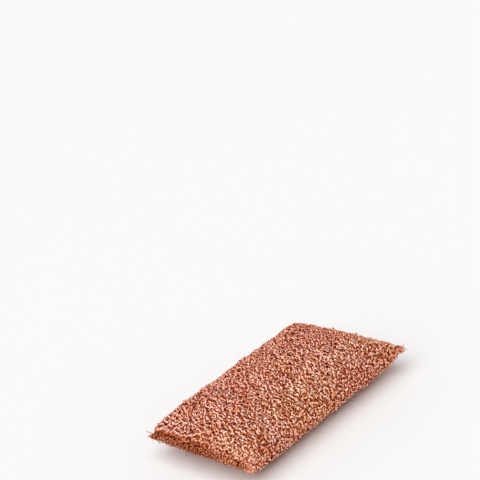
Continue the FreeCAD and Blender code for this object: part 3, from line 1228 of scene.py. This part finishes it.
@dataclass
class LooseEnds:
    """Tape that sticks out of a hem: a short fringe of cut ends and a knot of loops at one corner."""

    sleeve: Sleeve
    level: float
    fringe_count: int = 150
    tuft_count: int = 30
    rings: int = 7
    thick: float = 0.16 * MM
    root_depth: float = 1.3 * MM
    width: tuple = (0.32 * MM, 0.62 * MM)
    fringe_length: tuple = (0.9 * MM, 1.9 * MM)
    tuft_length: tuple = (1.4 * MM, 2.8 * MM)
    fringe_tones: tuple = (0.0, 0.45)
    tuft_tones: tuple = (0.45, 0.95)
    ambers: tuple = (0.0, 0.3)
    fringe_reach: float = 0.97
    tuft_reach: float = 0.05
    tuft_depth: float = 1.5 * MM
    tuft_swell: float = 0.6
    level_spread: float = 0.45 * MM
    fringe_slant: float = 0.6
    fringe_tilt: tuple = (-0.6, 0.45)
    tuft_along: tuple = (0.6, 1.3)
    tuft_out: tuple = (0.1, 0.9)
    tuft_tilt: float = 0.25
    tuft_stiff: float = 0.5
    curl: float = 0.5
    sag: float = 0.15
    taper: float = 0.3
    seed: int = 43

    def build(self) -> list[Piece]:
        """Draw the ends of both hems, with the knot at the corner that the hem is drawn out to.

        An end runs straight from its root, with a sag and a sideways curl that grow with the square of the
        distance. A loop of the knot goes out and back along a half sine, and curls in the same way.

        Returns:
            One piece for each hem.
        """
        draw = np.random.default_rng(self.seed)
        half_width = self.sleeve.hem_width / 2
        count = self.fringe_count + self.tuft_count
        tuft = np.arange(count) >= self.fringe_count
        swell = 1.0 + self.tuft_swell * tuft
        step = np.linspace(0.0, 1.0, self.rings)[None, :, None]
        pieces = []
        for zone, end in ((Zone.LEFT_HEM, -1.0), (Zone.RIGHT_HEM, 1.0)):
            spread = draw.uniform(-self.fringe_reach, self.fringe_reach, count)
            y = np.where(tuft, -end * (1.0 - self.tuft_reach * draw.random(count)), spread) * half_width
            depth = self.root_depth + tuft * self.tuft_depth * draw.random(count)
            x = end * (self.sleeve.length / 2 - depth)
            z = self.level + draw.normal(0.0, self.level_spread, count) * swell
            tuft_y = -end * draw.uniform(*self.tuft_along, count)
            aim_y = np.where(tuft, tuft_y, draw.normal(0.0, self.fringe_slant, count))
            aim_x = end * np.where(tuft, draw.uniform(*self.tuft_out, count), 1.0)
            tuft_z = draw.normal(0.0, self.tuft_tilt, count)
            aim_z = np.where(tuft, tuft_z, draw.uniform(*self.fringe_tilt, count))
            aim = unit(np.stack([aim_x, aim_y, aim_z], axis=-1))[:, None, :]
            tuft_long = draw.uniform(*self.tuft_length, count)
            long = np.where(tuft, tuft_long, draw.uniform(*self.fringe_length, count))[:, None, None]
            bend = draw.normal(0.0, self.curl, (count, 1, 3)) * (1.0 - self.tuft_stiff * tuft[:, None, None])
            bend = bend - np.array([0.0, 0.0, self.sag])
            out = np.where(tuft[:, None, None], np.sin(np.pi * step), step)
            centres = np.stack([x, y, z], axis=-1)[:, None, :] + long * (aim * out + bend * step**2)
            flats = np.repeat(draw.normal(0.0, 1.0, (count, 1, 3)), self.rings, axis=1)
            widths = draw.uniform(*self.width, (count, 1)) * swell[:, None]
            widths = widths * (1.0 - self.taper * step[..., 0])
            tuft_tone = draw.uniform(*self.tuft_tones, count)
            tone = np.where(tuft, tuft_tone, draw.uniform(*self.fringe_tones, count))
            piece = tape_mesh(f"{zone.value}_ends", centres, flats, widths, self.thick)
            add_values(piece, TONE, tone)
            add_values(piece, AMBER, draw.uniform(*self.ambers, count))
            pieces.append(piece)
        return pieces


@dataclass
class FoamCore:
    """The sponge block inside the sleeve."""

    low: Array
    high: Array
    rise: float = 0.14
    fullness: float = 6.5
    spread: float = 1.0 * MM
    slack: float = 0.4 * MM
    lip_share: float = 0.3

    def build(self) -> Piece:
        """A blunt pillow as large as the CAD block, less a little slack.

        Returns:
            The closed block.
        """
        half = (self.high - self.low) / 2 - self.slack
        form = PillowForm(
            reach=half[0],
            half_width=half[1] - self.spread,
            half_height=half[2],
            level=(self.high[2] + self.low[2]) / 2,
            lip=half[2] * self.lip_share,
            hem=0.0,
            spread=self.spread,
            rise=self.rise,
            fullness=self.fullness,
            rows=49,
            columns=72,
        )
        grid = form.grid()
        return add_piece("foam_block", grid, tube_faces(*grid.shape[:2]))

    def dress(self, piece: Piece) -> None:
        """Finish the block and let it stand for the CAD core.

        Args:
            piece: The block.
        """
        settle(piece, FOAM_FINISH.material())
        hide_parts("foam_core")


def soft_route(corners: Array, steps: int) -> Array:
    """Round a route of straight runs into one soft line.

    Each corner rules a parabola from the middle of the run before it to the middle of the run after it,
    and the two ends run straight into the first and last middle.

    Args:
        corners: The route's corner points.
        steps: Points on each parabola.

    Returns:
        The points of the line.
    """
    middle = (corners[:-1] + corners[1:]) / 2
    share = np.linspace(0.0, 1.0, steps, endpoint=False)[None, :, None]
    before, corner, after = middle[:-1, None], corners[1:-1, None], middle[1:, None]
    bends = (1 - share) ** 2 * before + 2 * share * (1 - share) * corner + share**2 * after
    return np.concatenate([corners[:1], bends.reshape(-1, 3), middle[-1:], corners[-1:]])


def plied_thread(name: str, route: Array, ply_radius: float, twist_pitch: float) -> Piece:
    """Make a thread of two plies that wind round a line.

    A ply's centre circles the line at its own radius, once in every twist pitch, and its round section of
    seven points is carried along. The frame is squared against one slanted direction that no run takes.

    Args:
        name: Name of the piece.
        route: Points of the line.
        ply_radius: Radius of one ply.
        twist_pitch: Length of one turn.

    Returns:
        The two closed plies as one piece.
    """
    line = unit(np.gradient(route, axis=0))
    slant = unit(PLY_SLANT)
    first = unit(slant - line * dot(line, slant[None]))
    second = np.cross(line, first)
    walked = np.concatenate([[0.0], np.cumsum(np.linalg.norm(np.diff(route, axis=0), axis=1))])
    wind = 2.0 * np.pi * walked / twist_pitch
    angle = np.linspace(0.0, 2.0 * np.pi, PLY_SIDES, endpoint=False)[None, :, None]
    ring = np.cos(angle) * first[:, None] + np.sin(angle) * second[:, None]
    plies = []
    for start in (0.0, np.pi):
        turn = (wind + start)[:, None]
        core = route + ply_radius * PLY_LAY * (np.cos(turn) * first + np.sin(turn) * second)
        plies.append(core[:, None] + ply_radius * ring)
    return add_piece(name, np.stack(plies), strand_faces(len(plies), len(route), PLY_SIDES))


@dataclass
class Seams:
    """The overedge seam at each hem: a needle thread and a looper thread on their packed routes."""

    level: float
    edge: float
    tail: float
    pitch: float = 3.8 * MM
    side_stitches: int = 11
    needle_inset: float = 2.0 * MM
    dash_height: float = 1.75 * MM
    looper_height: float = 1.35 * MM
    looper_out: float = 0.35 * MM
    looper_in: float = 0.65 * MM
    ply: float = 0.15 * MM
    twist: float = 1.3 * MM
    wander: float = 0.12 * MM
    curl: float = 2.4 * MM
    needle_tail: tuple = (1.9, 1.0)
    looper_tail: tuple = (-0.6, 0.8, 1.0)
    bend_steps: int = 8
    seed: int = 5

    def stitches(self) -> tuple[Array, Array]:
        """Places of the needle holes from the tail onwards, and the face that the thread is on at each."""
        holes = np.arange(self.side_stitches, -self.side_stitches - 1, -1) * self.pitch
        return holes, np.where(np.arange(holes.size) % 2 == 0, 1.0, -1.0)

    def needle_corners(self) -> Array:
        """Corners of the needle thread at the left hem: dashes above and below in turn.

        Returns:
            The corner points from the tail onwards.
        """
        holes, side = self.stitches()
        start, end = [self.tail, self.tail - self.curl], [holes[-1] - self.pitch / 2]
        y = np.concatenate([start, np.repeat(holes, 2), end])
        z = np.stack([side, -side], axis=1).ravel()
        z = np.concatenate([self.needle_tail, z, z[-1:]]) * self.dash_height + self.level
        x = np.full(y.size, -self.edge + self.needle_inset)
        x[0] -= self.curl / 2
        return np.stack([x, y, z], axis=-1)

    def looper_corners(self) -> Array:
        """Corners of the looper thread at the left hem: bights round the needle, wraps round the edge.

        Returns:
            The corner points from the tail onwards.
        """
        holes, side = self.stitches()
        half = self.pitch / 2
        inner = -self.edge + self.needle_inset + self.looper_in
        outer = -self.edge - self.looper_out
        middle = -self.edge + self.needle_inset / 2
        bight_x = np.tile([inner, inner, outer, outer], holes.size)[:-2]
        bight_y = np.stack([holes + half, holes - half, holes - half, holes - half], axis=1).ravel()[:-2]
        bight_z = np.stack([side, side, side, -side], axis=1).ravel()[:-2]
        x = np.concatenate([[middle - self.curl / 2, middle, middle], bight_x, [middle]])
        y = np.concatenate([[self.tail, self.tail - self.curl, holes[0] + half], bight_y, [holes[-1] - half]])
        z = np.concatenate([self.looper_tail, bight_z, bight_z[-1:]]) * self.looper_height + self.level
        return np.stack([x, y, z], axis=-1)

    def build(self) -> list[Piece]:
        """Lay both threads at the left hem, and the same ones turned half round at the right hem.

        Returns:
            The four threads, each named for the node that it stands for.
        """
        draw = np.random.default_rng(self.seed)
        pieces = []
        for end, turned in (("left", 1.0), ("right", -1.0)):
            for kind, corners in (("needle", self.needle_corners()), ("looper", self.looper_corners())):
                corners = corners + draw.normal(0.0, self.wander, corners.shape)
                route = soft_route(corners, self.bend_steps) * np.array([turned, turned, 1.0])
                pieces.append(plied_thread(f"{end}_{kind}_plies", route, self.ply, self.twist))
        return pieces

    def dress(self, pieces: list[Piece]) -> None:
        """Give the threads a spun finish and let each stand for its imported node.

        Args:
            pieces: The four threads.
        """
        material = ThreadFinish().material()
        for piece in pieces:
            settle(piece, material)
            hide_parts(piece.name.replace("plies", "thread"))


@dataclass(frozen=True)
class SkyLight:
    """A soft light far away: the direction towards it, its angle in degrees, its watts per square metre."""

    name: str
    towards: tuple
    width: float
    strength: float


@dataclass
class Studio:
    """Pale floor, soft light and the camera of the photograph."""

    lights: tuple = (
        SkyLight("overhead_light", (-0.28, -0.10, 0.94), 90.0, 2.5),
        SkyLight("back_light", (0.40, 0.60, 0.70), 50.0, 0.3),
    )
    sky: tuple = ((0.28, 0.95), (0.60, 0.03))
    floor_half: float = 9.0
    lens: float = 97.49
    sensor: float = 36.0
    clip: tuple = (0.01, 100.0)
    eye: tuple = (-0.420941, -0.599719, 0.403823)
    right: tuple = (0.701652, -0.647284, -0.297837)
    up: tuple = (0.459226, 0.091214, 0.883624)
    back: tuple = (-0.544789, -0.756771, 0.36125)

    def build(self) -> None:
        """Set the view, the world, the floor, the lamps and the camera."""
        scene = bpy.context.scene
        scene.view_settings.view_transform = "Standard"
        self.add_world()
        self.add_floor()
        for light in self.lights:
            self.add_light(light)
        self.add_camera()

    def add_world(self) -> None:
        """A room that is white along the horizon, as the floor is, and dimmer above."""
        world = bpy.data.worlds.new("studio")
        world.use_nodes = True
        tree = world.node_tree
        direction = tree.nodes.new("ShaderNodeTexCoord")
        split = tree.nodes.new("ShaderNodeSeparateXYZ")
        ramp = tree.nodes.new("ShaderNodeValToRGB")
        bar = ramp.color_ramp.elements
        for element, (where, level) in zip(bar, self.sky):
            element.position = where
            element.color = (level, level, level, 1.0)
        tree.links.new(direction.outputs["Generated"], split.inputs["Vector"])
        tree.links.new(split.outputs["Z"], ramp.inputs["Fac"])
        tree.links.new(ramp.outputs["Color"], tree.nodes["Background"].inputs["Color"])
        bpy.context.scene.world = world

    def add_floor(self) -> None:
        """A flat square at the level of the resting face."""
        half = self.floor_half
        corners = np.array([[-half, -half, 0.0], [half, -half, 0.0], [half, half, 0.0], [-half, half, 0.0]])
        floor = add_piece("floor", corners, [[0, 1, 2, 3]], smooth=False)
        floor.data.materials.append(FloorFinish().material())

    def add_light(self, light: SkyLight) -> None:
        """Hang a light so far away that it is even over the whole floor.

        Args:
            light: The light to hang.
        """
        lamp = bpy.data.lights.new(light.name, "SUN")
        lamp.angle = math.radians(light.width)
        lamp.energy = light.strength
        holder = bpy.data.objects.new(light.name, lamp)
        away = unit(np.array(light.towards))
        side = unit(np.cross(np.array([0.0, 1.0, 0.0]), away))
        holder.matrix_world = self.pose(side, np.cross(away, side), away, tuple(away))
        bpy.context.scene.collection.objects.link(holder)

    def add_camera(self) -> None:
        """Place the camera from its fitted axes."""
        data = bpy.data.cameras.new("camera")
        data.lens = self.lens
        data.sensor_width = self.sensor
        data.clip_start, data.clip_end = self.clip
        camera = bpy.data.objects.new("camera", data)
        camera.matrix_world = self.pose(self.right, self.up, self.back, self.eye)
        bpy.context.scene.collection.objects.link(camera)
        bpy.context.scene.camera = camera

    @staticmethod
    def pose(right: Array, up: Array, back: Array, place: tuple) -> Matrix:
        """Join three axes and a place into one matrix."""
        rows = np.column_stack([right, up, back, place])
        return Matrix([*rows.tolist(), [0.0, 0.0, 0.0, 1.0]])


def main() -> None:
    """Build the pieces in order, from the ground outwards, and then the studio."""
    logging.basicConfig(level=logging.INFO, format="%(message)s")
    for name in START_OBJECTS:
        left_over = bpy.data.objects.get(name)
        if left_over is not None:
            bpy.data.objects.remove(left_over)
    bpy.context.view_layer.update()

    low, high = (np.array(corner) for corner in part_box("knit_sleeve"))
    sleeve = Sleeve(*(high - low))
    sleeve.dress(sleeve.build())
    tape = TapeFinish().material()
    for layer in (SHORT_LOOPS, TALL_LOOPS, HEM_LOOPS):
        pile = LoopPile(sleeve, layer)
        dress_tape(pile.build(), tape)
    hem_level = (high[2] - sleeve.seat_cut) / 2
    dress_tape(LooseEnds(sleeve, hem_level).build(), tape)
    core = FoamCore(*(np.array(corner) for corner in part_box("foam_core")))
    core.dress(core.build())
    seams = Seams(
        level=hem_level,
        edge=high[0],
        tail=float(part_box("left_needle_thread")[1][1]),
    )
    seams.dress(seams.build())
    Studio().build()


if __name__ == "__main__":
    main()
